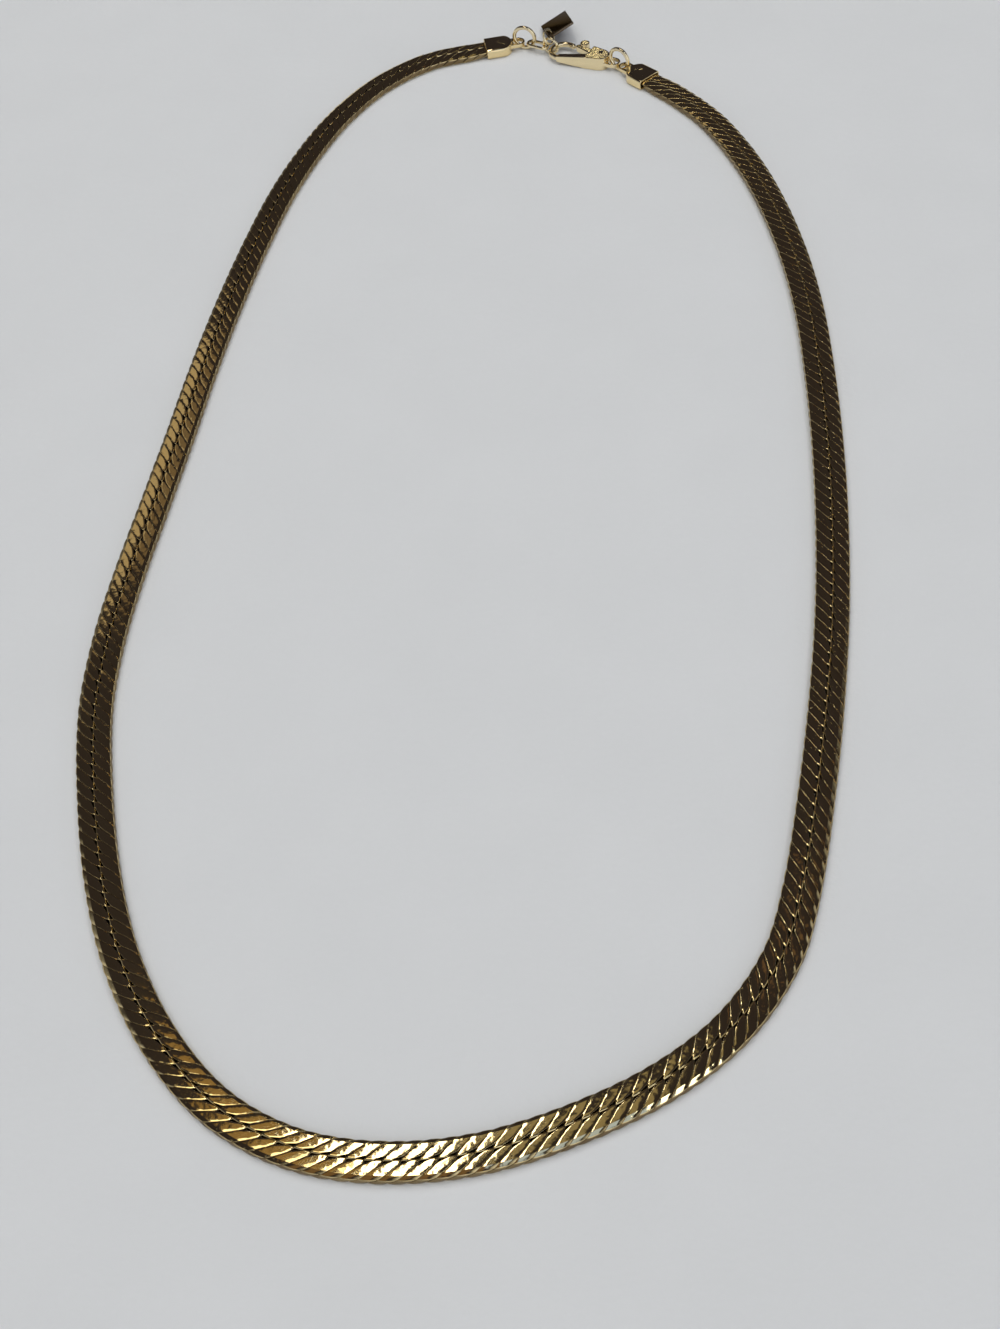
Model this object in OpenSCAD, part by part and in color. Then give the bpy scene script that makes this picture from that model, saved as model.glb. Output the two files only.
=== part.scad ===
// Flat gold neck chain of tightly woven links, closed on its claw clasp and lying on a table.
// Millimetres. X runs to the right, Y away from the wearer's front towards the clasp, Z up.
// The table is z = 0, and the origin is the middle of the lying loop.

/* [Chain] */
// Width of the woven band
chain_w = 4; // [3.6:0.1:5]
// Thickness of the woven band
chain_t = 1.2; // [1:0.05:1.5]
// Width of the bevel that is cut along each edge
bevel_w = 0.5; // [0.3:0.05:0.8]
// Height of that bevel
bevel_h = 0.4; // [0.2:0.05:0.45]
// Width of the band's narrowed ends, inside the caps
end_w = 3.5; // [3:0.1:3.6]
// Thickness of the band's ends
end_t = 0.9; // [0.8:0.05:1]
// Length over which the band narrows before each cap
end_taper = 3; // [2:0.5:6]

/* [End caps] */
// Length of a cap's sleeve, without its eye
cap_len = 4.3; // [3.8:0.1:6]
// Wall of the sleeve
cap_wall = 0.25; // [0.2:0.05:0.4]
// Clearance between the sleeve and the band's end
cap_gap = 0.1; // [0.05:0.01:0.15]
// How deep the band's end sits in the sleeve
cap_grip = 2.4; // [1.5:0.1:2.6]
// Radius of the corners of the sleeve's section
cap_round = 0.45; // [0.2:0.05:0.6]
// Distance from the eye's hole to the sleeve
eye_reach = 1; // [0.9:0.1:2]
// Outer radius of an eye
eye_r = 1.1; // [1.05:0.05:1.15]
// Radius of an eye's hole
eye_hole_r = 0.8; // [0.78:0.01:0.85]
// Thickness of the eyes
eye_t = 0.6; // [0.4:0.05:0.65]

/* [Rings and link] */
// Mean radius of the two jump rings
ring_r = 1.7; // [1.65:0.05:2]
// Wire of the jump rings
ring_wire = 0.6; // [0.4:0.05:0.62]
// Length of the oval link between the wires of the two rings that it joins
link_span = 2.2; // [1.8:0.1:4]
// Height of the oval link above the left jump ring's lower wire
link_lift = 0.15; // [0.1:0.05:0.3]
// Half the width of the oval link, between the middles of its wires
link_r = 0.7; // [0.65:0.05:0.85]
// Wire of the oval link
link_wire = 0.5; // [0.3:0.05:0.55]
// Mean radius of the catch ring that the clasp hooks into
catch_r = 1.25; // [1.2:0.01:1.5]
// Wire of the catch ring
catch_wire = 0.42; // [0.3:0.02:0.44]
// Running clearance between rings that pass through each other
ring_gap = 0.08; // [0.05:0.01:0.1]

/* [Clasp] */
// Length of the clasp from its front to the hole of its tail eye
clasp_len = 11.4; // [11.1:0.1:14]
// Width of the claw
clasp_w = 4.9; // [4.7:0.1:5.6]
// Thickness of the claw at its tail
clasp_t = 2; // [1.95:0.05:2.3]
// Thickness of the hook's round bar
hook_d = 0.84; // [0.6:0.02:0.88]
// Angle at which the hook's tip ends, measured from the clasp's long line
hook_tip = 65; // [55:1:80]
// Diameter of the rounded end of the hook's tip
tip_ball = 0.9; // [0.66:0.02:0.94]
// Width of the claw's flat side bars
web = 0.95; // [0.9:0.05:1.2]
// Radius of the claw's rounded tail
tail_r = 1.5; // [1.4:0.05:1.7]
// Distance from the tail's middle forward to the end of the claw's mouth
mouth_back = 1.7; // [1.6:0.05:2]

/* [Lever] */
// Thickness of the lever
lever_t = 0.9; // [0.6:0.05:1]
// Width of the lever at its tip
lever_tip_w = 0.84; // [0.6:0.02:0.9]
// Width of the lever's rounded heel
lever_heel_w = 1.44; // [1.3:0.02:1.6]
// Diameter of the pin that the lever turns on
pin_d = 0.8; // [0.5:0.05:0.85]
// Running clearance round that pin
pin_gap = 0.05; // [0.03:0.01:0.08]
// Clearance of the lever in its slot, on each side
slot_gap = 0.1; // [0.05:0.01:0.15]
// Gap between the closed lever and the hook's tip
tip_gap = 0.15; // [0.1:0.01:0.3]
// Radius of the thumb knob
knob_r = 0.75; // [0.6:0.05:0.9]
// Height of the thumb knob
knob_h = 1.5; // [1:0.1:1.8]

/* [Tag] */
// Width of the bare tag
tag_w = 4.6; // [3.5:0.1:6]
// Length of the bare tag
tag_l = 7.2; // [5:0.1:7.3]
// Thickness of the tag
tag_t = 0.4; // [0.2:0.05:0.45]
// Radius of the tag's hole
tag_hole_r = 0.5; // [0.4:0.05:0.5]
// Distance from the hole's middle to the tag's two nearest edges
tag_edge = 0.8; // [0.7:0.05:0.85]
// Mean radius of the small ring that the tag hangs on
tag_ring_r = 1.1; // [1.05:0.01:1.2]
// Wire of that ring
tag_ring_wire = 0.4; // [0.2:0.02:0.42]

/* [Hidden] */
$fn = 48;
gold = [0.83, 0.68, 0.36];
pale_gold = [0.87, 0.78, 0.53];
dark_gold = [0.45, 0.36, 0.2];

// The route of the band's middle line, clockwise from the right cap round the front to the left cap
ROUTE = [[38, 70], [42, 62], [45, 51], [46.5, 40], [47, 28], [46.5, 16], [45, 3], [43, -10], [40.5, -23],
         [37.5, -36], [34, -48.5], [30, -61], [26, -72], [22.5, -79], [16.5, -85.5], [9, -90], [0, -93],
         [-9, -94.5], [-18, -94], [-26, -91.5], [-33, -86.5], [-38.5, -79], [-42.5, -70], [-45, -60],
         [-46.5, -48], [-47, -36], [-46, -26], [-44, -16], [-41, -4], [-38, 8], [-35, 20.5], [-31.5, 33.5],
         [-27.5, 46.5], [-23, 59], [-18, 69.5], [-13, 77.5], [-6.5, 84.5], [1.5, 89]];
// Where the clasp lies, and the way that each piece of the fastening points, clockwise round the loop
CLASP_MIDDLE = [25.3, 84];
LEFT_CAP_TURN = 3;
LEFT_RING_TURN = -24;
LINK_TURN = -38;
CLASP_TURN = -36;
RIGHT_RING_TURN = -46;
RIGHT_CAP_TURN = -54;

// Outer sizes of the cap's sleeve, from the band's end that it holds
cap_w = end_w + 2 * (cap_gap + cap_wall);
cap_t = end_t + 2 * (cap_gap + cap_wall);

function ahead(p, length, turn) = p + length * [cos(turn), sin(turn)];
// An upright ring stands on the table. At the height z, and over the thickness t of a flat piece there,
// its wire passes this far from its middle
function passes(r, wire, z, t) =
    let (middle = r + wire / 2)
    (sqrt(pow(r - wire / 2, 2) - pow(middle - z + t / 2, 2))
     + sqrt(pow(r + wire / 2, 2) - pow(middle - z - t / 2, 2))) / 2;
// A bar of the thickness d at the height z, pulled against the ring's inside, lies this far from its middle
function pulled(r, wire, z, d) = sqrt(pow(r - wire / 2 - d / 2 - ring_gap, 2) - pow(r + wire / 2 - z, 2));
// So the oval link's end wire lies this far past the place where the ring passes through the link
function wrap(r, wire) = passes(r, wire, link_z, link_wire) - pulled(r, wire, link_z, link_wire);

// Heights above the table: of the oval link, and of the caps' eyes, which clear the rings' lower wires
link_z = ring_wire + ring_gap + link_lift + link_wire / 2;
eye_z = ring_wire + ring_gap + eye_t / 2;
// Stations of the fastening, from the clasp to the left cap
clasp_front = ahead(CLASP_MIDDLE, -clasp_len / 2, CLASP_TURN);
catch_at = ahead(clasp_front, hook_d / 2 - pulled(catch_r, catch_wire, clasp_t / 2, hook_d), CLASP_TURN);
link_right = ahead(catch_at, -passes(catch_r, catch_wire, link_z, link_wire), CLASP_TURN);
link_left = ahead(link_right, -link_span, LINK_TURN);
left_ring_at = ahead(link_left, -passes(ring_r, ring_wire, link_z, link_wire), LEFT_RING_TURN);
left_eye_at = ahead(left_ring_at, -passes(ring_r, ring_wire, eye_z, eye_t), LEFT_RING_TURN);
left_mouth = ahead(left_eye_at, -eye_reach - cap_len, LEFT_CAP_TURN);
left_end = ahead(left_mouth, cap_grip, LEFT_CAP_TURN);
// Stations of the fastening, from the clasp to the right cap
tail_at = ahead(clasp_front, clasp_len, CLASP_TURN);
right_ring_at = ahead(tail_at, passes(ring_r, ring_wire, clasp_t / 2, eye_t), RIGHT_RING_TURN);
right_eye_at = ahead(right_ring_at, passes(ring_r, ring_wire, eye_z, eye_t), RIGHT_RING_TURN);
right_mouth = ahead(right_eye_at, eye_reach + cap_len, RIGHT_CAP_TURN);
right_end = ahead(right_mouth, -cap_grip, RIGHT_CAP_TURN);

// The band's whole middle line, from inside one cap to inside the other, as a smooth curve
path = concat([right_end, right_mouth], ROUTE, [left_mouth, left_end]);
path_steps = 8;
function last(list) = len(list) - 1;
function heading(i) =
    let (a = path[max(i - 1, 0)], b = path[i], c = path[min(i + 1, last(path))])
    (c - a) / (norm(c - b) + norm(b - a));
function curve(i, t) =
    let (a = path[i], b = path[i + 1], d = norm(b - a))
    a * (1 + 2 * t) * pow(1 - t, 2) + b * (3 - 2 * t) * t * t
    + d * (heading(i) * t * pow(1 - t, 2) - heading(i + 1) * (1 - t) * t * t);
fine = concat([for (i = [0 : last(path) - 1], k = [0 : path_steps - 1]) curve(i, k / path_steps)],
              [path[last(path)]]);
travelled = [for (i = 0, s = 0; i < len(fine);
                  s = s + (i < last(fine) ? norm(fine[i + 1] - fine[i]) : 0), i = i + 1) s];
band_len = travelled[last(travelled)];
x_at = [for (i = [0 : last(fine)]) [travelled[i], fine[i][0]]];
y_at = [for (i = [0 : last(fine)]) [travelled[i], fine[i][1]]];
function on_path(s) = [lookup(s, x_at), lookup(s, y_at)];

// Sections of one half of the band: three at the cap, and then even steps to the middle
half_rings = 39;
first_full = cap_grip + end_taper;
half_stations = concat([0, cap_grip],
    [for (i = [0 : half_rings - 3]) first_full + (band_len / 2 - first_full) * i / (half_rings - 3)]);
// The share of the band's full size at a station: 0 in a cap and 1 past the taper
function fullness(s) = max(0, min(1, (min(s, band_len - s) - cap_grip) / end_taper));
function bevelled(w, t) =
    let (h = bevel_h * t / chain_t)
    [[w / 2, t / 2 - h], [w / 2 - bevel_w, t / 2], [bevel_w - w / 2, t / 2], [-w / 2, t / 2 - h],
     [-w / 2, h - t / 2], [bevel_w - w / 2, -t / 2], [w / 2 - bevel_w, -t / 2], [w / 2, h - t / 2]];
function band_ring(s) =
    let (f = fullness(s), w = end_w + (chain_w - end_w) * f, t = end_t + (chain_t - end_t) * f,
         z = cap_t / 2 + (chain_t - cap_t) / 2 * f, step = 0.4,
         along = on_path(min(s + step, band_len)) - on_path(max(s - step, 0)),
         across = [-along[1], along[0]] / norm(along))
    [for (q = bevelled(w, t)) [on_path(s)[0] + across[0] * q[0], on_path(s)[1] + across[1] * q[0], z + q[1]]];

// A solid through a row of rings with the same number of corners
module skin(rings) {
    n = len(rings[0]);
    sides = [for (i = [0 : len(rings) - 2], k = [0 : n - 1])
        [i * n + k, i * n + (k + 1) % n, (i + 1) * n + (k + 1) % n, (i + 1) * n + k]];
    start = [for (k = [n - 1 : -1 : 0]) k];
    finish = [for (k = [0 : n - 1]) last(rings) * n + k];
    polyhedron(points = [for (r = rings, p = r) p], faces = concat(sides, [start, finish]));
}

module place(at, turn, z = 0) translate([at[0], at[1], z]) rotate([0, 0, turn]) children();
module torus(r, wire, angle = 360) rotate_extrude(angle = angle) translate([r, 0]) circle(d = wire);
module upright_ring(at, turn, r, wire) place(at, turn, r + wire / 2) rotate([90, 0, 0]) torus(r, wire);

module chain_right() color(gold) skin([for (s = half_stations) band_ring(s)]);
module chain_left() color(gold)
    skin([for (i = [last(half_stations) : -1 : 0]) band_ring(band_len - half_stations[i])]);

// An eye: a flat plate with a round end and a hole, its hole at the origin
module eye_plate(thickness, reach) {
    translate([0, 0, -thickness / 2]) cylinder(r = eye_r, h = thickness);
    translate([0, -eye_r, -thickness / 2]) cube([reach, 2 * eye_r, thickness]);
}
module rounded_section(w, t, r) {
    square([w - 2 * r, t], center = true);
    square([w, t - 2 * r], center = true);
    for (x = [-1, 1], y = [-1, 1]) translate([x * (w / 2 - r), y * (t / 2 - r)]) circle(r);
}
// A folded sleeve that is soldered shut round the band's end, with a round shoulder and an eye
module end_cap() {
    pocket_w = end_w + 2 * cap_gap;
    pocket_t = end_t + 2 * cap_gap;
    pocket_l = cap_grip + cap_gap;
    shoulder = cap_w / 2;
    color(pale_gold) translate([0, 0, cap_t / 2]) difference() {
        union() {
            intersection() {
                translate([eye_reach, 0, 0]) rotate([90, 0, 90])
                    linear_extrude(cap_len) rounded_section(cap_w, cap_t, cap_round);
                union() {
                    translate([eye_reach + shoulder, 0, -cap_t]) cylinder(r = shoulder, h = 2 * cap_t);
                    translate([eye_reach + shoulder, -cap_w, -cap_t]) cube([cap_len, 2 * cap_w, 2 * cap_t]);
                }
            }
            translate([0, 0, eye_z - cap_t / 2]) eye_plate(eye_t, eye_reach + shoulder / 2);
        }
        translate([eye_reach + cap_len - pocket_l, 0, 0]) rotate([90, 0, 90])
            linear_extrude(2 * pocket_l) rounded_section(pocket_w, pocket_t, cap_round - cap_wall);
        cylinder(r = eye_hole_r, h = 2 * cap_t, center = true);
    }
}
module end_cap_right() place(right_eye_at, RIGHT_CAP_TURN) end_cap();
module end_cap_left() place(left_eye_at, LEFT_CAP_TURN + 180) end_cap();

module jump_ring_right() color(pale_gold) upright_ring(right_ring_at, RIGHT_RING_TURN, ring_r, ring_wire);
module jump_ring_left() color(pale_gold) upright_ring(left_ring_at, LEFT_RING_TURN, ring_r, ring_wire);
module catch_ring() color(pale_gold) upright_ring(catch_at, CLASP_TURN, catch_r, catch_wire);

// A flat oval of wire that lies through the left jump ring and the catch ring
module oval_link() {
    from = link_r - wrap(ring_r, ring_wire);
    to = link_span + wrap(catch_r, catch_wire) - link_r;
    color(pale_gold) place(link_left, LINK_TURN, link_z) {
        for (side = [-1, 1]) translate([from, side * link_r, 0]) rotate([0, 90, 0])
            cylinder(d = link_wire, h = to - from);
        translate([from, 0, 0]) rotate([0, 0, 90]) torus(link_r, link_wire, 180);
        translate([to, 0, 0]) rotate([0, 0, -90]) torus(link_r, link_wire, 180);
    }
}

// The claw's own frame: x runs from its front to its tail, y towards the lever, z from its middle plane
hook_x = clasp_w / 2;
hook_r = clasp_w / 2 - hook_d / 2 - 0.03;
tail_x = clasp_len - eye_hole_r - ring_gap - tail_r;
hook_root = 4;
mouth_r = clasp_w / 2 - web;
mouth_end_r = tail_r - 0.8;
cheek_x = tail_x - 2;
pin_x = tail_x - 0.1;
pin_y = tail_r - 0.95;
tip_end = [hook_x + hook_r * cos(hook_tip), hook_r * sin(hook_tip)];
lever_tip = [tip_end[0] + tip_ball / 2 + tip_gap + lever_tip_w / 2, tip_end[1] - 0.12];
knob_at = lever_tip + [knob_r, knob_r];
module at_clasp() place(clasp_front, CLASP_TURN, clasp_t / 2) children();

// Two circles on one line, joined by their outer tangents
module pear(x1, r1, x2, r2) {
    lean = acos((r1 - r2) / (x2 - x1));
    translate([x1, 0]) circle(r1);
    translate([x2, 0]) circle(r2);
    polygon([[x1 + r1 * cos(lean), r1 * sin(lean)], [x2 + r2 * cos(lean), r2 * sin(lean)],
             [x2 + r2 * cos(lean), -r2 * sin(lean)], [x1 + r1 * cos(lean), -r1 * sin(lean)]]);
}
// The claw: a round hook at the front, a side bar that thickens to the tail, two cheeks and a tail eye
module clasp_body() {
    reach = 2 * clasp_len;
    front_t = hook_d + 0.12;
    color(pale_gold) at_clasp() {
        difference() {
            union() {
                intersection() {
                    translate([0, 0, -clasp_t / 2]) linear_extrude(clasp_t) difference() {
                        pear(hook_x, clasp_w / 2, tail_x, tail_r);
                        pear(hook_x, mouth_r, tail_x - tail_r - mouth_back + mouth_end_r, mouth_end_r);
                    }
                    translate([0, clasp_w, 0]) rotate([90, 0, 0]) linear_extrude(2 * clasp_w)
                        polygon([[hook_x, front_t / 2], [cheek_x, clasp_t / 2], [reach, clasp_t / 2],
                                 [reach, -clasp_t / 2], [cheek_x, -clasp_t / 2], [hook_x, -front_t / 2]]);
                }
                translate([clasp_len, 0, 0]) rotate([0, 0, 180]) eye_plate(eye_t, clasp_len - tail_x);
            }
            translate([hook_x - 1, mouth_end_r / 2, -clasp_t]) cube([cheek_x - hook_x + 1, clasp_w, 2 * clasp_t]);
            translate([cheek_x - 1, -tail_r / 2, -lever_t / 2 - slot_gap])
                cube([pin_x + lever_heel_w / 2 + 2 * slot_gap - cheek_x + 1, clasp_w, lever_t + 2 * slot_gap]);
            translate([clasp_len, 0, 0]) cylinder(r = eye_hole_r, h = 2 * clasp_t, center = true);
        }
        translate([pin_x, pin_y, -clasp_t / 2]) cylinder(d = pin_d, h = clasp_t);
        translate([hook_x, 0, 0]) rotate([0, 0, hook_tip]) torus(hook_r, hook_d, 270 + hook_root - hook_tip);
        translate([tip_end[0], tip_end[1], 0]) sphere(d = tip_ball);
    }
}
// The lever: a tapered bar on the pin, with a round thumb knob outside the claw
module clasp_lever() {
    run = [pin_x, pin_y] - lever_tip;
    color(gold) at_clasp() difference() {
        union() {
            translate([0, 0, -lever_t / 2]) linear_extrude(lever_t)
                translate(lever_tip) rotate(atan2(run[1], run[0]))
                    pear(0, lever_tip_w / 2, norm(run), lever_heel_w / 2);
            translate([knob_at[0], knob_at[1], -knob_h / 2]) cylinder(r = knob_r, h = knob_h);
        }
        translate([pin_x, pin_y, 0]) cylinder(d = pin_d + 2 * pin_gap, h = 2 * clasp_t, center = true);
    }
}

// The tag's ring passes through the catch ring, high on its left side
TAG_RING_UP = 120;
TAG_TILT = [-16.5, -22, 10];
tag_ring_out = tag_ring_r - (tag_ring_wire + catch_wire) / 2 - ring_gap;
tag_drop = tag_hole_r - tag_ring_wire / 2 - ring_gap;
catch_z = catch_r + catch_wire / 2;
tag_hole_at = concat(ahead(ahead(catch_at, catch_r * cos(TAG_RING_UP), CLASP_TURN),
                           tag_ring_out + tag_ring_r, CLASP_TURN + 90),
                     [catch_z + catch_r * sin(TAG_RING_UP) - tag_drop]);
module tag_ring() color(pale_gold) place(catch_at, CLASP_TURN, catch_z) rotate([0, -TAG_RING_UP, 0])
    translate([catch_r, tag_ring_out, 0]) torus(tag_ring_r, tag_ring_wire);
module hang_tag() color(dark_gold) translate(tag_hole_at) rotate(TAG_TILT) difference() {
    translate([-tag_edge, -tag_edge, -tag_t / 2]) cube([tag_w, tag_l, tag_t]);
    cylinder(r = tag_hole_r, h = 2 * tag_t, center = true);
}

chain_right();
chain_left();
end_cap_right();
end_cap_left();
jump_ring_right();
jump_ring_left();
oval_link();
catch_ring();
clasp_body();
clasp_lever();
tag_ring();
hang_tag();
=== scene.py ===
from math import cos, pi, radians, sin, sqrt

import bmesh
import bpy
import numpy as np
from mathutils import Matrix, Vector


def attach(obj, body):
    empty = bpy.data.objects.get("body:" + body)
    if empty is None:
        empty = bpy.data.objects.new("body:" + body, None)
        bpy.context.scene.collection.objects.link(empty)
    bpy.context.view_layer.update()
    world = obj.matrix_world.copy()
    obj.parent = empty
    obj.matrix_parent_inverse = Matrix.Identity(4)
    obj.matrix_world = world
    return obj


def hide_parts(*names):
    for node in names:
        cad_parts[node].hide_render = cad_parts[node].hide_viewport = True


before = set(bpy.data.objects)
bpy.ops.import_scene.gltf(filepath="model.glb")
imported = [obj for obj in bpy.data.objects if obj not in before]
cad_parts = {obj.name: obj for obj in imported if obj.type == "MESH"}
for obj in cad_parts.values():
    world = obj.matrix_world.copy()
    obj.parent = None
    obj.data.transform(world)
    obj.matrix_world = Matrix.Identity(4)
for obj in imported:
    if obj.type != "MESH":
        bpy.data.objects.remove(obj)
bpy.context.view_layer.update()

# The camera
# It stands in front of the lying chain and above it, at the photograph's angle: 50.5 degrees below the
# horizon, turned a little about its own axis.
MM = 0.001
CAMERA_AT = Vector((-0.74, -159.61, 149.11)) * MM
CAMERA_TIP, CAMERA_ROLL = radians(39.5), radians(-7.9)
camera = bpy.data.objects.new("photo_camera", bpy.data.cameras.new("photo_camera"))
bpy.context.collection.objects.link(camera)
camera.matrix_world = (Matrix.Translation(CAMERA_AT) @ Matrix.Rotation(CAMERA_TIP, 4, "X")
                       @ Matrix.Rotation(CAMERA_ROLL, 4, "Z"))
camera.data.sensor_width = 36
camera.data.lens = 46.05
camera.data.clip_start = 5 * MM
bpy.context.scene.camera = camera
bpy.context.scene.view_settings.view_transform = "Standard"

# The lie of the chain
# The route that the band's middle line takes on the table, clockwise from the right cap round the
# front to the left cap, and the pieces of the fastening between its ends. Lengths here are millimetres.
ROUTE = [(38, 70), (42, 62), (45, 51), (46.5, 40), (47, 28), (46.5, 16), (45, 3), (43, -10), (40.5, -23),
         (37.5, -36), (34, -48.5), (30, -61), (26, -72), (22.5, -79), (16.5, -85.5), (9, -90), (0, -93),
         (-9, -94.5), (-18, -94), (-26, -91.5), (-33, -86.5), (-38.5, -79), (-42.5, -70), (-45, -60),
         (-46.5, -48), (-47, -36), (-46, -26), (-44, -16), (-41, -4), (-38, 8), (-35, 20.5), (-31.5, 33.5),
         (-27.5, 46.5), (-23, 59), (-18, 69.5), (-13, 77.5), (-6.5, 84.5), (1.5, 89)]
CLASP_MIDDLE, CLASP_LEN, CLASP_T, HOOK_D = (25.3, 84), 11.4, 2.0, 0.84
RING_R, RING_WIRE, CATCH_R, CATCH_WIRE = 1.7, 0.6, 1.25, 0.42
LINK_SPAN, LINK_R, LINK_WIRE, LINK_LIFT = 2.2, 0.7, 0.5, 0.15
EYE_T, EYE_REACH, CAP_LEN, CAP_T, CAP_GRIP, RUNNING_GAP = 0.6, 1.0, 4.3, 1.6, 2.4, 0.08
LEFT_CAP_TURN, LEFT_RING_TURN, LINK_TURN = 3, -24, -38
CLASP_TURN, RIGHT_RING_TURN, RIGHT_CAP_TURN = -36, -46, -54


def ahead(point, length, turn):
    return np.array(point) + length * np.array((cos(radians(turn)), sin(radians(turn))))


def passes(r, wire, z, t):
    """How far from its middle an upright ring's wire passes through a flat piece at the height z."""
    middle = r + wire / 2
    inner = sqrt((r - wire / 2) ** 2 - (middle - z + t / 2) ** 2)
    return (inner + sqrt((r + wire / 2) ** 2 - (middle - z - t / 2) ** 2)) / 2


def pulled(r, wire, z, d):
    """How far from its middle a bar of the thickness d lies that is pulled against an upright ring."""
    return sqrt((r - wire / 2 - d / 2 - RUNNING_GAP) ** 2 - (r + wire / 2 - z) ** 2)


link_z = RING_WIRE + RUNNING_GAP + LINK_LIFT + LINK_WIRE / 2
eye_z = RING_WIRE + RUNNING_GAP + EYE_T / 2
clasp_front = ahead(CLASP_MIDDLE, -CLASP_LEN / 2, CLASP_TURN)
catch_at = ahead(clasp_front, HOOK_D / 2 - pulled(CATCH_R, CATCH_WIRE, CLASP_T / 2, HOOK_D), CLASP_TURN)
link_right = ahead(catch_at, -passes(CATCH_R, CATCH_WIRE, link_z, LINK_WIRE), CLASP_TURN)
link_left = ahead(link_right, -LINK_SPAN, LINK_TURN)
left_ring_at = ahead(link_left, -passes(RING_R, RING_WIRE, link_z, LINK_WIRE), LEFT_RING_TURN)
left_eye_at = ahead(left_ring_at, -passes(RING_R, RING_WIRE, eye_z, EYE_T), LEFT_RING_TURN)
left_mouth = ahead(left_eye_at, -EYE_REACH - CAP_LEN, LEFT_CAP_TURN)
left_end = ahead(left_mouth, CAP_GRIP, LEFT_CAP_TURN)
tail_at = ahead(clasp_front, CLASP_LEN, CLASP_TURN)
right_ring_at = ahead(tail_at, passes(RING_R, RING_WIRE, CLASP_T / 2, EYE_T), RIGHT_RING_TURN)
right_eye_at = ahead(right_ring_at, passes(RING_R, RING_WIRE, eye_z, EYE_T), RIGHT_RING_TURN)
right_mouth = ahead(right_eye_at, EYE_REACH + CAP_LEN, RIGHT_CAP_TURN)
right_end = ahead(right_mouth, -CAP_GRIP, RIGHT_CAP_TURN)

path = np.array([right_end, right_mouth, *ROUTE, left_mouth, left_end])
steps = np.linalg.norm(np.diff(path, axis=0), axis=1)
before, after = np.concatenate(([0], steps)), np.concatenate((steps, [0]))
index = np.arange(len(path))
neighbours = path[np.minimum(index + 1, len(path) - 1)] - path[np.maximum(index - 1, 0)]
heading = neighbours / (before + after)[:, None]
t = np.linspace(0, 1, 24, endpoint=False)[None, :, None]
a, b, d = path[:-1, None], path[1:, None], steps[:, None, None]
fine = (a * (1 + 2 * t) * (1 - t) ** 2 + b * (3 - 2 * t) * t * t
        + d * (heading[:-1, None] * t * (1 - t) ** 2 - heading[1:, None] * (1 - t) * t * t))
fine = np.vstack((fine.reshape(-1, 2), path[-1:]))
travelled = np.concatenate(([0], np.cumsum(np.linalg.norm(np.diff(fine, axis=0), axis=1))))
band_len = travelled[-1]


def on_route(s):
    return np.stack((np.interp(s, travelled, fine[:, 0]), np.interp(s, travelled, fine[:, 1])), axis=-1)


def to_left(s, step=0.4):
    """The level direction to the left of the route, across the band."""
    along = on_route(np.minimum(s + step, band_len)) - on_route(np.maximum(s - step, 0))
    along /= np.linalg.norm(along, axis=-1, keepdims=True)
    return np.stack((-along[..., 1], along[..., 0]), axis=-1)


# The woven band
# Oval rings of gold-plated brass wire, each passed through the three before it, are pressed flat between
# rolls and then diamond-cut: level tops, and a bevel along both edges, above and below.
BAND_W, BAND_T, BEVEL_W, BEVEL_H = 4.0, 1.2, 0.5, 0.19
END_W, END_T, END_TAPER = 3.5, 0.9, 3.0
PITCH = 1.71
SLIT = 0.025                               # between one ring and the next, along the band
HEAD_W = 0.94                              # of the wire where it climbs through the middle
HEAD_START, HEAD_END = 0.04, 0.42          # from the middle line: where it starts and ends to widen
CLIMB_W, CLIMB_H = 0.12, 0.42              # the rounded climb beside the middle line, and its height
WIRE_T, FOLD_T = 0.48, 0.34                # thickness of the pressed wire, on top and at its folds
HOOK_R = 0.32                              # how roundly the slant sets out from the middle line
HALF_LEN = (HEAD_W + 3.5 * PITCH) / 2 + 0.02      # of a ring, so that heads of both sides take turns
TOP = BAND_T / 2 - 0.01
CORNER_W, CORNER_H = 0.06, 0.14            # the tight rounding along a ring's two borders
UNCUT_W, UNCUT_NARROW, UNCUT_H = 0.42, 0.04, 0.008    # the gentle rounding that the cutter left beside it
FOLD_BULGE = 0.12                          # how far a fold stands out between its two corners
BEVEL_END = 1.90                           # from the middle line: where the cut bevel ends at the fold
CROWN = 0.02                               # slope of the tops of either half, down to its edge
TILT, MOST_TILT = 0.006, 0.04              # slopes by which rings lie out of true, and the most they lift
END_ROOM, CUT_OFF = 0.1, 0.05              # from the band's ends: the outermost rings' middles, and the cut


def smooth(a, b, value):
    t = np.clip((value - a) / (b - a), 0, 1)
    return t * t * (3 - 2 * t)


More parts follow.
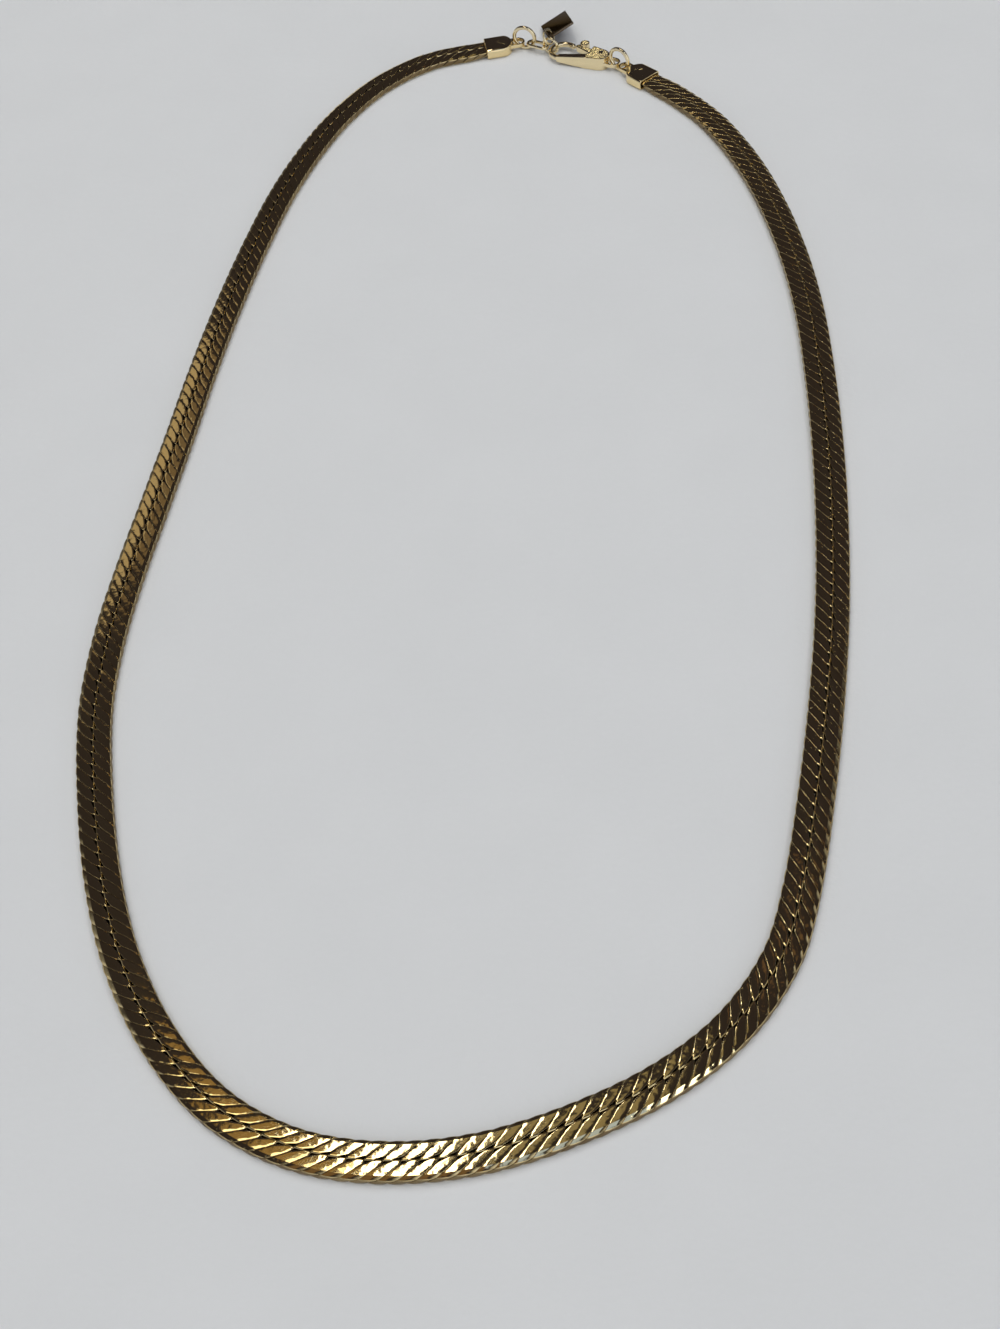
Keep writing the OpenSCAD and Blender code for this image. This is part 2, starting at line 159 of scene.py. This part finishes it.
def quarter_ring():
    """Sections of a ring's upper left quarter, from the middle line to the edge.

    Its wire climbs out of the middle of the band, slants across the top to the edge and folds over it,
    to slant back below. Each point has its place along, to the left and up, and from 0 to 1 how much
    tarnish and painted shade it gets: in the hollow at the foot of the climb, down a ring's sides into
    the slits, on the low part of each fold and all over the underside.
    """
    crease = BAND_W / 2 - BEVEL_W
    climb = np.array([-0.17, -0.10, -0.03, 0.045, CLIMB_W])
    level = np.array([0.40, 0.78, 1.15, crease])
    fold = np.array([1.70, BEVEL_END, 1.97, 2.0, 2.0])
    left = np.concatenate((climb, level, fold))
    behind = np.clip((CLIMB_W - left) / (CLIMB_W - climb[0]), 0, 1)    # 1 at the foot of the climb
    up = TOP - CLIMB_H * behind ** 3 - np.maximum(left, 0) * CROWN
    up -= np.maximum(left - crease, 0) * BEVEL_H / BEVEL_W
    up[0] = -climb[0]
    up[-3:] = TOP - BEVEL_H - 0.06, (TOP - BEVEL_H) * 0.62, 0
    lean = radians(-50) * behind ** 1.5            # of the outer face, from level
    lean[-6:] = np.radians([11, 22, 30, 60, 84, 90])
    thick = WIRE_T + (FOLD_T - WIRE_T) * smooth(1.2, 1.7, left)
    unrolled = np.concatenate(([0], np.cumsum(np.hypot(np.diff(left), np.diff(up)))))
    unrolled -= np.interp(0, left, unrolled)
    reach = np.sqrt(unrolled ** 2 + HOOK_R ** 2) - HOOK_R
    first = -HALF_LEN + reach * (HALF_LEN - (PITCH - SLIT) / 2) / reach[-1]
    spread = np.maximum(smooth(HEAD_START, HEAD_END, left), smooth(0.5, 0.8, behind))
    width = HEAD_W + (PITCH - SLIT - HEAD_W) * spread
    outward = smooth(0.1, crease, left)
    turn = np.radians([0, 40, 66, 82])             # round the corner, from the ring's side to its face
    corner = np.broadcast_to(CORNER_W * (1 - np.cos(turn)), (len(left), 4))
    gentle = np.array([0.35, 1.0])
    sides = []
    for wide in ((1 - outward) ** 1.5, outward ** 1.5):
        uncut = np.minimum(UNCUT_NARROW + (UNCUT_W - UNCUT_NARROW) * wide, 0.4 * width - CORNER_W)[:, None]
        sides.append(np.concatenate((corner, CORNER_W + gentle * uncut), axis=1))
    near, far = sides[0], width[:, None] - sides[1][:, ::-1]
    across = np.concatenate((near, (near[:, -1:] + far[:, :1]) / 2, far), axis=1)
    drop = np.concatenate((UNCUT_H + CORNER_H * (1 - np.sin(turn)), UNCUT_H * (1 - gentle) ** 2))
    below = np.concatenate((drop, [0], drop[::-1]))
    normal = np.stack((np.sin(lean), np.cos(lean)), axis=1)[:, None]
    rounded = FOLD_BULGE * (smooth(1.80, 2.0, left)[:, None] * (2 * across / width[:, None] - 1) ** 2)
    outer = np.stack((left[:, None] - rounded, np.broadcast_to(up[:, None], rounded.shape)), axis=2)
    upper = outer - normal * below[None, :, None]
    lower = outer - normal * (thick[:, None] - below[None])[..., None]
    x = (first[:, None] + across)[..., None]
    # tarnish with painted shade in the hollow at the foot of the climb, and painted shade on the low part of
    # each fold where it meets the table
    row_tarnish_and_shade = np.maximum(smooth(0.45, 1.0, behind), 0.95 * smooth(0.42, 0.30, up) * (left > 1))
    # with painted shade down the rounded sides of each ring into the slits between rings
    deep = np.maximum(row_tarnish_and_shade[:, None], smooth(UNCUT_H, UNCUT_H + 0.8 * CORNER_H, below))
    top_face = np.concatenate((x, upper, deep[..., None]), axis=2)
    # the underside is painted fully with tarnish and shade
    low_face = np.concatenate((x, lower, np.ones_like(x)), axis=2)[:, ::-1]
    return np.concatenate((top_face, low_face), axis=1)


def one_ring():
    """Points of a ring of the band as an array of stations by sides by (along, left, up, deep)."""
    climbing = quarter_ring()
    sides = climbing.shape[1]
    swapped = (sides // 2 - 1 - np.arange(sides)) % sides
    returning = (climbing * (-1, 1, -1, 1))[::-1, swapped]
    half = np.concatenate((climbing[:-1], returning[:-1]))
    other = np.roll(half * (-1, -1, 1, 1), -(sides // 2), axis=1)
    return np.concatenate((half, other))


def laid_rings(centres, chance):
    """The rings at these places along the route: vertices in metres, faces, and each vertex's share of
    tarnish and painted shade.
    """
    ring = one_ring()
    stations, sides = ring.shape[:2]
    along, left, up, deep = np.moveaxis(ring, -1, 0)[:, None]
    lean = chance.normal(0, TILT, (2, len(centres), 1, 1))
    up = up + np.clip(lean[0] * along + lean[1] * left, -MOST_TILT, MOST_TILT)
    s = np.clip(centres[:, None, None] + along, CUT_OFF, band_len - CUT_OFF)     # inside the caps
    full = np.clip((np.minimum(s, band_len - s) - CAP_GRIP) / END_TAPER, 0, 1)
    left = left * (END_W + (BAND_W - END_W) * full) / BAND_W
    up = up * (END_T + (BAND_T - END_T) * full) / BAND_T
    up = up + CAP_T / 2 + (BAND_T - CAP_T) / 2 * full
    level = on_route(s) + to_left(s) * left[..., None]
    points = np.concatenate((level, up[..., None]), axis=-1).reshape(-1, 3) * MM
    i, k = np.meshgrid(np.arange(stations), np.arange(sides), indexing="ij")
    i2, k2 = (i + 1) % stations, (k + 1) % sides
    turned = np.where(i2 == 0, sides // 2, 0)      # a ring's outer face becomes its inner one half way round
    quads = np.stack((i * sides + k, i2 * sides + (k + turned) % sides, i2 * sides + (k2 + turned) % sides,
                      i * sides + k2), axis=-1)
    faces = quads.reshape(1, -1, 4) + (np.arange(len(centres)) * stations * sides)[:, None, None]
    return points, faces.reshape(-1, 4), np.tile(deep.reshape(-1), len(centres))


def new_piece(name, points, faces, sharp=180):
    """A smooth mesh from lists of points and faces, with sharp edges from this angle up."""
    mesh = bpy.data.meshes.new(name)
    mesh.from_pydata(points, [], faces)
    mesh.shade_smooth()
    mesh.set_sharp_from_angle(angle=radians(sharp))
    piece = bpy.data.objects.new(name, mesh)
    bpy.context.collection.objects.link(piece)
    return piece


count = round((band_len - 2 * END_ROOM) / PITCH) + 1
places = np.linspace(END_ROOM, band_len - END_ROOM, count)
chance = np.random.default_rng(7)
stations, sides = one_ring().shape[:2]
CREASE, CUT_END = 8, 10                    # the stations of a quarter ring between which its bevel is cut
bevelled = [CREASE, CUT_END, stations // 2 - CUT_END, stations // 2 - CREASE]
bands = []
for i, stretch in enumerate(np.array_split(places, 4)):
    side = ("right", "left")[i // 2]
    points, faces, deep = laid_rings(stretch, chance)
    band = new_piece(f"woven_band_{side}_{i % 2 + 1}", points.tolist(), faces.tolist(), sharp=36)
    edges = np.array([tuple(edge.vertices) for edge in band.data.edges]) // sides % stations
    cut = (edges[:, 0] == edges[:, 1]) & np.isin(edges[:, 0] % (stations // 2), bevelled)
    crisp = np.zeros(len(edges), bool)
    band.data.attributes["sharp_edge"].data.foreach_get("value", crisp)
    band.data.attributes["sharp_edge"].data.foreach_set("value", crisp | cut)
    # the deep value carries each point's tarnish and painted shade to the band's material
    band.data.attributes.new("deep", "FLOAT", "POINT").data.foreach_set("value", deep.astype(np.float32))
    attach(band, "necklace")
    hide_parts(f"chain_{side}")
    bands.append(band)


def group_with(name, inputs, outputs):
    group = bpy.data.node_groups.new(name, "ShaderNodeTree")
    for way, sockets in (("INPUT", inputs), ("OUTPUT", outputs)):
        for socket, kind in sockets.items():
            group.interface.new_socket(socket, in_out=way, socket_type=f"NodeSocket{kind}")
    ends = group.nodes.new("NodeGroupInput").outputs, group.nodes.new("NodeGroupOutput").inputs
    return group, *ends


def add(tree, kind, wires=None, **settings):
    """A node of this kind with its settings, and its inputs set to a value or wired to a socket."""
    node = tree.nodes.new(f"ShaderNode{kind}")
    for key, value in settings.items():
        setattr(node, key, value)
    for key, value in (wires or {}).items():
        if isinstance(value, bpy.types.NodeSocket):
            tree.links.new(value, node.inputs[key])
        else:
            node.inputs[key].default_value = value
    return node


def mix(tree, factor, a, b, blend="MIX"):
    """A colour mix: sockets 6 and 7 of the node are its two colours, and output 2 the mixed one."""
    return add(tree, "Mix", {0: factor, 6: a, 7: b}, data_type="RGBA", blend_type=blend,
               clamp_factor=False).outputs[2]


def math(tree, operation, a, b=0.0, c=0.0, clamp=False):
    return add(tree, "Math", {0: a, 1: b, 2: c}, operation=operation, use_clamp=clamp).outputs[0]


# polished plate: what wear and handling did to the plating, the same on every piece of the necklace, and
# tarnish with painted shade where a mesh gives it a Deep value
plate, given, made = group_with(
    "polished_plate",
    {"Colour": "Color", "Tarnish and Shade": "Color", "Roughness": "Float", "Deep": "Float", "Ripple": "Float",
     "Pits": "Float"},
    {"Colour": "Color", "Roughness": "Float", "Height": "Float"})
at = add(plate, "TexCoord").outputs["Object"]
each = add(plate, "NewGeometry").outputs["Random Per Island"]
cloudy = add(plate, "TexNoise", {"Vector": at, "Scale": 160.0, "Detail": 3.0}).outputs["Fac"]
waves = add(plate, "TexNoise", {"Vector": at, "Scale": 1500.0, "Detail": 1.0}).outputs["Fac"]
grain = add(plate, "TexNoise", {"Vector": at, "Scale": 9000.0, "Detail": 2.0}).outputs["Fac"]
pitted = add(plate, "TexVoronoi", {"Vector": at, "Scale": 2300.0}, feature="F1").outputs["Distance"]
pit = math(plate, "MULTIPLY", math(plate, "LESS_THAN", pitted, 0.16),
           math(plate, "GREATER_THAN", cloudy, 0.5))
aged = math(plate, "MULTIPLY_ADD", cloudy, 0.5, 0.75)
# tarnish and painted shade: the Deep value, mottled, mixes the colour towards a dark brown
tarnish_and_shade_amount = math(plate, "MULTIPLY", given["Deep"], aged, clamp=True)
tinted = mix(plate, math(plate, "MULTIPLY", each, 0.35), given["Colour"],
             mix(plate, 1.0, given["Colour"], (1.0, 0.93, 0.80, 1.0), "MULTIPLY"))
plate.links.new(mix(plate, tarnish_and_shade_amount, tinted, given["Tarnish and Shade"]), made["Colour"])
rough = math(plate, "MULTIPLY_ADD", tarnish_and_shade_amount, 0.22, given["Roughness"])
plate.links.new(math(plate, "MULTIPLY_ADD", cloudy, 0.04, rough), made["Roughness"])
height = math(plate, "MULTIPLY", waves, given["Ripple"])
height = math(plate, "MULTIPLY_ADD", grain, 0.04, height)
plate.links.new(math(plate, "MULTIPLY_ADD", pit, math(plate, "MULTIPLY", given["Pits"], -1.0), height),
                made["Height"])


def gold(name, colour, tarnish_and_shade_colour, rough, ripple, pits, deep=None):
    """Polished plate of this colour. deep names the value on a mesh's points that drives its tarnish and
    painted shade.
    """
    material = bpy.data.materials.new(name)
    material.use_nodes = True
    tree = material.node_tree
    shader = tree.nodes["Principled BSDF"]
    shader.inputs["Metallic"].default_value = 1.0
    finish = tree.nodes.new("ShaderNodeGroup")
    finish.node_tree = plate
    for key, value in (("Colour", (*colour, 1)), ("Tarnish and Shade", (*tarnish_and_shade_colour, 1)), ("Roughness", rough),
                       ("Ripple", ripple), ("Pits", pits)):
        finish.inputs[key].default_value = value
    if deep:
        tree.links.new(add(tree, "Attribute", attribute_name=deep).outputs["Fac"], finish.inputs["Deep"])
    tree.links.new(finish.outputs["Colour"], shader.inputs["Base Color"])
    tree.links.new(finish.outputs["Roughness"], shader.inputs["Roughness"])
    relief = add(tree, "Bump", {"Height": finish.outputs["Height"], "Strength": 1.0, "Distance": 0.02 * MM})
    tree.links.new(relief.outputs["Normal"], shader.inputs["Normal"])
    return material


# the band's deep value darkens it with tarnish and painted shade in its hollows, slits, low folds and
# underside
band_gold = gold("band_gold_plate", (0.94, 0.75, 0.38), (0.20, 0.14, 0.07), 0.05, 0.6, 0.2, deep="deep")
for band in bands:
    band.data.materials.append(band_gold)

# The end caps
# A sleeve is folded from sheet brass round each end of the band and soldered shut, with a round shoulder
# and an eye. Tumbling has rounded all its edges, and its plating is a little paler than the band's.


def softened(source, name, rounding):
    """A piece in the form of a source node, with its sharp edges rounded."""
    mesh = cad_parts[source].data.copy()
    form = bmesh.new()
    form.from_mesh(mesh)
    bmesh.ops.remove_doubles(form, verts=form.verts, dist=2e-6)
    bmesh.ops.dissolve_limit(form, angle_limit=radians(1.5), verts=form.verts, edges=form.edges)
    form.to_mesh(mesh)
    form.free()
    mesh.materials.clear()
    mesh.shade_smooth()
    sharp_form = bpy.data.objects.new("sharp_form", mesh)
    bpy.context.collection.objects.link(sharp_form)
    edge = sharp_form.modifiers.new("rounding", "BEVEL")
    edge.width, edge.segments, edge.limit_method, edge.angle_limit = rounding * MM, 4, "ANGLE", radians(38)
    edge.use_clamp_overlap, edge.harden_normals = False, True
    rounded_form = sharp_form.evaluated_get(bpy.context.evaluated_depsgraph_get())
    piece = bpy.data.objects.new(name, bpy.data.meshes.new_from_object(rounded_form))
    bpy.data.objects.remove(sharp_form)
    bpy.context.collection.objects.link(piece)
    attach(piece, "necklace")
    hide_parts(source)
    return piece


cap_gold = gold("cap_gold_plate", (0.93, 0.76, 0.43), (0.20, 0.12, 0.05), 0.07, 0.35, 0.3)
for side in ("left", "right"):
    cap = softened(f"end_cap_{side}", f"folded_cap_{side}", 0.10)
    cap.data.materials.append(cap_gold)

# The jump rings, the oval link and the catch ring
# Round brass wire bent into rings and into an oval link, each with its two cut ends butted together. The
# two jump rings and the catch ring stand upright, and the link lies flat through two of them.
SEAM = 0.03                                # between the two cut ends of a ring's wire
BURR, BURR_W = 0.35 * SEAM, 0.82           # length of a cut end's rounding, and its width as a share


def tube_faces(rings, sides):
    """The faces between rings of points that follow one another, each of as many points."""
    return [(i * sides + j, i * sides + (j + 1) % sides,
             (i + 1) * sides + (j + 1) % sides, (i + 1) * sides + j)
            for i in range(rings - 1) for j in range(sides)]


def bent_wire(name, source, where, line, wire):
    """A loop of round wire along a flat line, whose two ends meet at a seam, put on the table by a matrix."""
    line = np.array(line)
    along = np.gradient(line, axis=0)
    along /= np.linalg.norm(along, axis=1, keepdims=True)
    size = np.full(len(line), wire / 2)
    line = np.vstack((line[:1], line, line[-1:]))
    along = np.vstack((along[:1], along, along[-1:]))
    line[0] -= BURR * along[0]
    line[-1] += BURR * along[-1]
    size = np.concatenate(([BURR_W * wire / 2], size, [BURR_W * wire / 2]))
    a = np.linspace(0, 2 * pi, 28, endpoint=False)
    out = np.stack((along[:, 1], -along[:, 0]), axis=1)
    flat = line[:, None] + out[:, None] * (size[:, None] * np.cos(a))[..., None]
    local = np.concatenate((flat, (size[:, None] * np.sin(a))[..., None]), axis=2).reshape(-1, 3)
    points = local @ np.array(where.to_3x3()).T + np.array(where.translation)
    n, k = len(line), len(a)
    faces = tube_faces(n, k) + [tuple(range(k))[::-1], tuple(range((n - 1) * k, n * k))]
    piece = new_piece(name, (points * MM).tolist(), faces, sharp=60)
    piece.data.materials.append(wire_gold)
    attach(piece, "necklace")
    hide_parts(source)
    return piece


def arc(r, start, end, count=96, middle=(0, 0)):
    a = np.linspace(start, end, count)
    return np.stack((middle[0] + r * np.cos(a), middle[1] + r * np.sin(a)), axis=1)


def upright(at, turn, z):
    return (Matrix.Translation((*at, z)) @ Matrix.Rotation(radians(turn), 4, "Z")
            @ Matrix.Rotation(pi / 2, 4, "X"))


wire_gold = gold("wire_gold_plate", (0.93, 0.79, 0.50), (0.20, 0.12, 0.05), 0.06, 0.25, 0.2)
for name, source, at, turn, r, wire, seam in (
        ("jump_ring_loop_left", "jump_ring_left", left_ring_at, LEFT_RING_TURN, RING_R, RING_WIRE, 65),
        ("jump_ring_loop_right", "jump_ring_right", right_ring_at, RIGHT_RING_TURN, RING_R, RING_WIRE, 110),
        ("catch_ring_loop", "catch_ring", catch_at, CLASP_TURN, CATCH_R, CATCH_WIRE, 35)):
    gap = SEAM / 2 / r
    line = arc(r, radians(seam) + gap, radians(seam) + 2 * pi - gap)
    bent_wire(name, source, upright(at, turn, r + wire / 2), line, wire)

wrap_left = passes(RING_R, RING_WIRE, link_z, LINK_WIRE) - pulled(RING_R, RING_WIRE, link_z, LINK_WIRE)
wrap_right = passes(CATCH_R, CATCH_WIRE, link_z, LINK_WIRE) - pulled(CATCH_R, CATCH_WIRE, link_z, LINK_WIRE)
link_from, link_to = LINK_R - wrap_left, LINK_SPAN + wrap_right - LINK_R
seam_x = (link_from + link_to) / 2
oval = np.vstack(([(seam_x + SEAM / 2, -LINK_R)], arc(LINK_R, -pi / 2, pi / 2, 40, (link_to, 0)),
                  arc(LINK_R, pi / 2, 3 * pi / 2, 40, (link_from, 0)), [(seam_x - SEAM / 2, -LINK_R)]))
lying = Matrix.Translation((*link_left, link_z)) @ Matrix.Rotation(radians(LINK_TURN), 4, "Z")
bent_wire("oval_link_loop", "oval_link", lying, oval, LINK_WIRE)

# The claw clasp
# A cast brass claw with a round hook, two cheeks and a tail eye, and a lever with a round thumb knob that
# turns on a pin between the cheeks. All is polished, and the pin's end is peened into a low head.
GRID, STROKES = 0.05, 24                   # of the mesh over which the casting is rubbed smooth


def cast(source, name, body):
    """A piece in the form of a source node, rubbed smooth all over like a tumbled casting."""
    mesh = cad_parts[source].data.copy()
    mesh.materials.clear()
    mesh.transform(to_clasp.inverted())
    sharp_form = bpy.data.objects.new("sharp_form", mesh)
    bpy.context.collection.objects.link(sharp_form)
    skin = sharp_form.modifiers.new("skin", "REMESH")
    skin.mode, skin.voxel_size, skin.use_smooth_shade = "VOXEL", GRID * MM, True
    rubbed = sharp_form.modifiers.new("rubbed", "SMOOTH")
    rubbed.factor, rubbed.iterations = 0.5, STROKES
    rubbed_form = sharp_form.evaluated_get(bpy.context.evaluated_depsgraph_get())
    piece = bpy.data.objects.new(name, bpy.data.meshes.new_from_object(rubbed_form))
    bpy.data.objects.remove(sharp_form)
    piece.data.transform(to_clasp)
    bpy.context.collection.objects.link(piece)
    piece.data.materials.append(clasp_gold)
    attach(piece, body)
    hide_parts(source)
    return piece


to_clasp = (Matrix.Translation(Vector((*clasp_front, CLASP_T / 2)) * MM)
            @ Matrix.Rotation(radians(CLASP_TURN), 4, "Z"))
clasp_gold = gold("clasp_gold_plate", (0.93, 0.79, 0.50), (0.20, 0.12, 0.05), 0.07, 0.15, 0.25)
cast("clasp_body", "claw", "necklace")
cast("clasp_lever", "claw_lever", "lever")
EYE_HOLE_R, TAIL_R, PIN_AHEAD, PIN_ASIDE = 0.8, 1.5, 0.1, 0.95
PIN_D, PIN_HEAD, PIN_SUNK, PIN_SIDES, PIN_RINGS = 0.8, 0.07, 0.02, 40, 7
tail_x = CLASP_LEN - EYE_HOLE_R - RUNNING_GAP - TAIL_R
pin_at = ahead(ahead(clasp_front, tail_x - PIN_AHEAD, CLASP_TURN), TAIL_R - PIN_ASIDE, CLASP_TURN + 90)
a = np.linspace(0, 2 * pi, PIN_SIDES, endpoint=False)
dome = [(PIN_D / 2 * cos(t), CLASP_T - PIN_SUNK + (PIN_HEAD + PIN_SUNK) * sin(t))
        for t in np.linspace(0, 0.46 * pi, PIN_RINGS)]
points = np.array([(pin_at[0] + r * cos(b), pin_at[1] + r * sin(b), z) for r, z in dome for b in a])
faces = tube_faces(PIN_RINGS, PIN_SIDES) + [tuple(range(len(points) - PIN_SIDES, len(points)))]
pin = new_piece("pin_head", (points * MM).tolist(), faces)
pin.data.materials.append(clasp_gold)
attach(pin, "necklace")

# The hang tag and its ring
# A bare oblong tag stamped from thin sheet, with rounded edges and a hole in one corner, hangs on a small
# ring of finer wire that passes through the catch ring. It rests on the table on one corner.
TAG_RING_R, TAG_RING_WIRE, TAG_RING_UP, TAG_RING_SEAM = 1.1, 0.4, 120, 200
tag_ring_out = TAG_RING_R - (TAG_RING_WIRE + CATCH_WIRE) / 2 - RUNNING_GAP
where = (Matrix.Translation((*catch_at, CATCH_R + CATCH_WIRE / 2))
         @ Matrix.Rotation(radians(CLASP_TURN), 4, "Z") @ Matrix.Rotation(radians(-TAG_RING_UP), 4, "Y")
         @ Matrix.Translation((CATCH_R, tag_ring_out, 0)))
gap = SEAM / 2 / TAG_RING_R
line = arc(TAG_RING_R, radians(TAG_RING_SEAM) + gap, radians(TAG_RING_SEAM + 360) - gap)
bent_wire("tag_ring_loop", "tag_ring", where, line, TAG_RING_WIRE)
tag_gold = gold("tag_gold_plate", (0.13, 0.10, 0.07), (0.06, 0.04, 0.02), 0.14, 0.25, 0.3)
tag_gold.node_tree.nodes["Principled BSDF"].inputs["Specular Tint"].default_value = (0.36, 0.34, 0.32, 1)
tag = softened("hang_tag", "bare_tag", 0.10)
tag.data.materials.append(tag_gold)

# The floor
# A wide, plain, pale board that the chain lies on by its own weight. Its matt surface is a little
# mottled, with a fine grain.
FLOOR_REACH = 3.0
corners = [(x * FLOOR_REACH, y * FLOOR_REACH, 0) for x, y in ((-1, -1), (1, -1), (1, 1), (-1, 1))]
floor = new_piece("pale_floor", corners, [(0, 1, 2, 3)])
board = bpy.data.materials.new("pale_board")
board.use_nodes = True
tree = board.node_tree
shader = tree.nodes["Principled BSDF"]
shader.inputs["Roughness"].default_value = 0.9
shader.inputs["Specular IOR Level"].default_value = 0.1
at = add(tree, "TexCoord").outputs["Object"]
mottle = add(tree, "TexNoise", {"Vector": at, "Scale": 60.0, "Detail": 4.0}).outputs["Fac"]
tree.links.new(mix(tree, mottle, (0.66, 0.67, 0.67, 1), (0.70, 0.71, 0.71, 1)), shader.inputs["Base Color"])
grain = add(tree, "TexNoise", {"Vector": at, "Scale": 1200.0, "Detail": 3.0}).outputs["Fac"]
relief = add(tree, "Bump", {"Height": grain, "Strength": 0.3, "Distance": 0.2 * MM})
tree.links.new(relief.outputs["Normal"], shader.inputs["Normal"])
floor.data.materials.append(board)

# The lights
# Level panels stand for the windows and walls that a polished chain mirrors, each where a stretch of its
# tops or bevels faces. Small lamps do so for the clasp, and a wide panel above lights the floor alone.
PANEL_HEIGHT, FILL_HEIGHT, FILL_REACH = 1.0, 2.0, 1.5
WALL_TURN = radians(-16)                   # of the two far panels, as the band's upper left run is turned too


def panel(name, left, right, front, back, radiance, colour, height=PANEL_HEIGHT):
    """A level area light between these edges in metres. Its power is radiance times pi times its area."""
    light = bpy.data.lights.new(name, "AREA")
    light.shape = "RECTANGLE"
    light.size, light.size_y = right - left, back - front
    light.energy = radiance * pi * light.size * light.size_y
    light.color = colour
    lamp = bpy.data.objects.new(name, light)
    lamp.location = (left + right) / 2, (front + back) / 2, height
    bpy.context.collection.objects.link(lamp)
    return lamp


panel("window_panel", -0.142, -0.085, -0.35, 0.55, 5.5, (1.0, 0.98, 0.93))
panel("window_wing", -0.34, -0.16, -0.10, 0.27, 2.0, (1.0, 0.93, 0.7))
panel("grey_panel", 0.0, 0.335, -0.50, -0.36, 0.85, (0.47, 0.62, 1.0))
panel("bright_panel", 0.335, 0.50, -0.43, -0.29, 3.5, (0.8, 0.9, 1.0))
panel("bronze_panel", -0.62, -0.01, -0.50, -0.36, 0.12, (1.0, 0.62, 0.25))
panel("olive_panel", -0.05, 0.075, 0.28, 0.42, 0.22, (1.0, 0.88, 0.55))
panel("brown_panel", 0.18, 0.22, 0.43, 0.54, 0.09, (1.0, 0.6, 0.3))
panel("amber_panel", -0.275, -0.17, 0.29, 0.47, 0.22, (1.0, 0.66, 0.22))
panel("tan_panel", -0.43, -0.29, 0.95, 1.345, 0.36, (1.0, 0.85, 0.62)).rotation_euler.z = WALL_TURN
panel("umber_panel", -0.295, -0.205, 0.90, 1.22, 0.12, (1.0, 0.75, 0.45)).rotation_euler.z = WALL_TURN
panel("knob_lamp", 0.201, 0.221, 1.736, 1.770, 5.0, (1.0, 0.95, 0.7))
panel("tail_lamp", 0.226, 0.244, 1.690, 1.716, 3.0, (1.0, 0.95, 0.8))
panel("eye_lamp", 0.116, 0.136, 1.765, 1.790, 3.0, (1.0, 0.95, 0.8))
fill = panel("floor_fill", -FILL_REACH, FILL_REACH, -FILL_REACH, FILL_REACH, 1.35, (1, 1, 1), FILL_HEIGHT)
fill.visible_glossy = False

# The room
# Dark overhead and beyond the table, but paler behind the viewer, low down and to both sides. The tight
# roundings of the rings face there and show it as thin bright lines.
world = bpy.data.worlds.new("studio")
bpy.context.scene.world = world
world.use_nodes = True
room = world.node_tree
facing = add(room, "SeparateXYZ", {0: add(room, "TexCoord").outputs["Generated"]}).outputs


def fading(axis, none, full, least=0.0):
    """How far a direction has come from one share along an axis to another, from the least to 1."""
    return add(room, "MapRange", {"Value": facing[axis], "From Min": none, "From Max": full,
                                  "To Min": least}).outputs[0]


behind = math(room, "MULTIPLY", fading(1, -0.40, -0.70), fading(0, -0.3, 0.1, 0.35))
low = math(room, "MULTIPLY", fading(2, 0.36, 0.12), fading(1, 0.9, 0.4, 0.12))
beside = math(room, "MAXIMUM", fading(0, 0.36, 0.62), fading(0, -0.36, -0.62))
beside = math(room, "MULTIPLY", beside, math(room, "MULTIPLY", fading(1, 0.5, 0.2), fading(2, 0.62, 0.46)))
pale = math(room, "MAXIMUM", math(room, "MULTIPLY", behind, 1.9), math(room, "MULTIPLY", low, 0.85))
pale = math(room, "MAXIMUM", pale, math(room, "MULTIPLY", beside, 0.9))
room.links.new(mix(room, pale, (0.026, 0.0225, 0.028, 1), (0.48, 0.50, 0.56, 1)),
               room.nodes["Background"].inputs["Color"])
